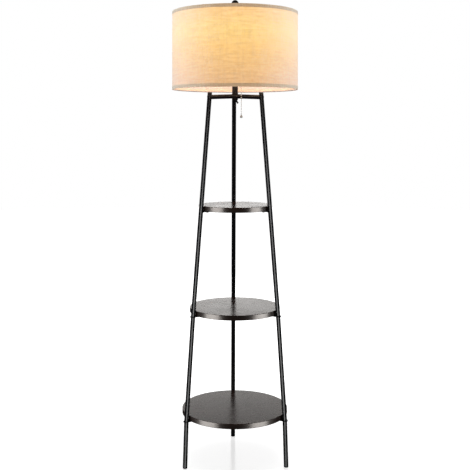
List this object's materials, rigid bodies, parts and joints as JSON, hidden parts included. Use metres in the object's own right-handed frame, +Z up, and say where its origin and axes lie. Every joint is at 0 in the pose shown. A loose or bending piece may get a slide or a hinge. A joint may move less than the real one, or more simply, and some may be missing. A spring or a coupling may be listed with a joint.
{
  "type": "shelf floor lamp",
  "caption": "Floor lamp with round dark shelves between leaning black tube legs, a linen drum shade on a harp and a bead-chain pull switch.",
  "frame": {"origin": "on the floor, on the lamp's axis", "axes": "+Z up along the lamp's axis, the back leg on the +Y side, the front between the other legs on the -Y side"},
  "size_m": [0.4063, 0.4064, 1.477],
  "materials": {
    "black_steel": "satin black powder coat",
    "foot_plastic": "matt black moulding",
    "outlet_rubber": "matt black",
    "zinc_steel": "bright zinc plate",
    "black_screws": "black oxide",
    "espresso_board": "dark espresso laminate, satin",
    "holder_metal": "satin brass plate",
    "switch_plastic": "moulded black",
    "contact_brass": "bare brass",
    "chain_nickel": "bright nickel",
    "bulb_cap_metal": "rolled aluminium",
    "bulb_glass": "frosted, lit",
    "harp_nickel": "nickel plate",
    "shade_linen": "fine cream linen weave",
    "shade_hem": "folded linen strip",
    "shade_lining": "off-white translucent sheet",
    "white_wire": "white enamel"
  },
  "bodies": {
    "stand": {"lower_leg_back": "black_steel", "lower_leg_left": "black_steel", "lower_leg_right": "black_steel", "middle_leg_back": "black_steel", "middle_leg_left": "black_steel", "middle_leg_right": "black_steel", "upper_leg_back": "black_steel", "upper_leg_left": "black_steel", "upper_leg_right": "black_steel", "arm_back": "black_steel", "arm_left": "black_steel", "arm_right": "black_steel", "low_tab_back": "black_steel", "low_tab_left": "black_steel", "low_tab_right": "black_steel", "mid_tab_back": "black_steel", "mid_tab_left": "black_steel", "mid_tab_right": "black_steel", "top_shelf_lugs": "black_steel", "hub_tube": "black_steel", "hub_bottom_cap": "black_steel", "hub_top_cap": "black_steel", "foot_cap_back": "foot_plastic", "foot_cap_left": "foot_plastic", "foot_cap_right": "foot_plastic", "leg_top_plugs": "foot_plastic", "cord_outlet": "outlet_rubber", "leg_inserts": "zinc_steel", "leg_studs": "zinc_steel", "arm_plugs": "zinc_steel", "nipple": "zinc_steel", "lock_nut": "zinc_steel", "harp_stud": "zinc_steel", "shelf_screws": "black_screws", "arm_screws": "black_screws", "low_shelf": "espresso_board", "middle_shelf": "espresso_board", "top_shelf": "espresso_board", "holder_cap": "holder_metal", "holder_shell": "holder_metal", "chain_guide": "holder_metal", "switch_body": "switch_plastic", "screw_shell": "contact_brass", "centre_contact": "contact_brass", "harp_saddle": "harp_nickel", "harp_wire": "harp_nickel", "harp_ferrules": "harp_nickel"},
    "shade": {"shade_fabric": "shade_linen", "shade_liner": "shade_lining", "top_trim": "shade_hem", "bottom_trim": "shade_hem", "spider": "white_wire", "bottom_ring": "white_wire"},
    "finial": {"finial": "black_steel"},
    "bulb": {"bulb_base": "bulb_cap_metal", "bulb_glass": "bulb_glass"},
    "switch_chain": {"chain_top": "chain_nickel"},
    "swivel": {"chain_swivel": "chain_nickel"},
    "pull": {"hanging_chain": "chain_nickel", "chain_pull": "chain_nickel"}
  },
  "joints": [
    {"name": "shade_turn", "type": "hinge", "parent": "stand", "child": "shade", "pos_m": [0, 0, 1.4233], "axis": [0, 0, 1], "continuous": true},
    {"name": "finial_turn", "type": "hinge", "parent": "stand", "child": "finial", "pos_m": [0, 0, 1.425], "axis": [0, 0, 1], "continuous": true},
    {"name": "bulb_turn", "type": "hinge", "parent": "stand", "child": "bulb", "pos_m": [0, 0, 1.2409], "axis": [0, 0, 1], "continuous": true},
    {"name": "switch_pull", "type": "slide", "parent": "stand", "child": "switch_chain", "axis": [0, 0, -1], "range_m": [0, 0.008], "stiffness_N_per_m": 400, "springref_m": -0.004},
    {"name": "chain_swing_out", "type": "hinge", "parent": "switch_chain", "child": "swivel", "pos_m": [0.0194, -0.02288, 1.2126], "axis": [-0.866, 0.5, 0], "range_deg": [-1, 35]},
    {"name": "chain_swing_side", "type": "hinge", "parent": "swivel", "child": "pull", "pos_m": [0.0194, -0.02288, 1.2126], "axis": [-0.5, -0.866, 0], "range_deg": [-15, 25]}
  ]
}
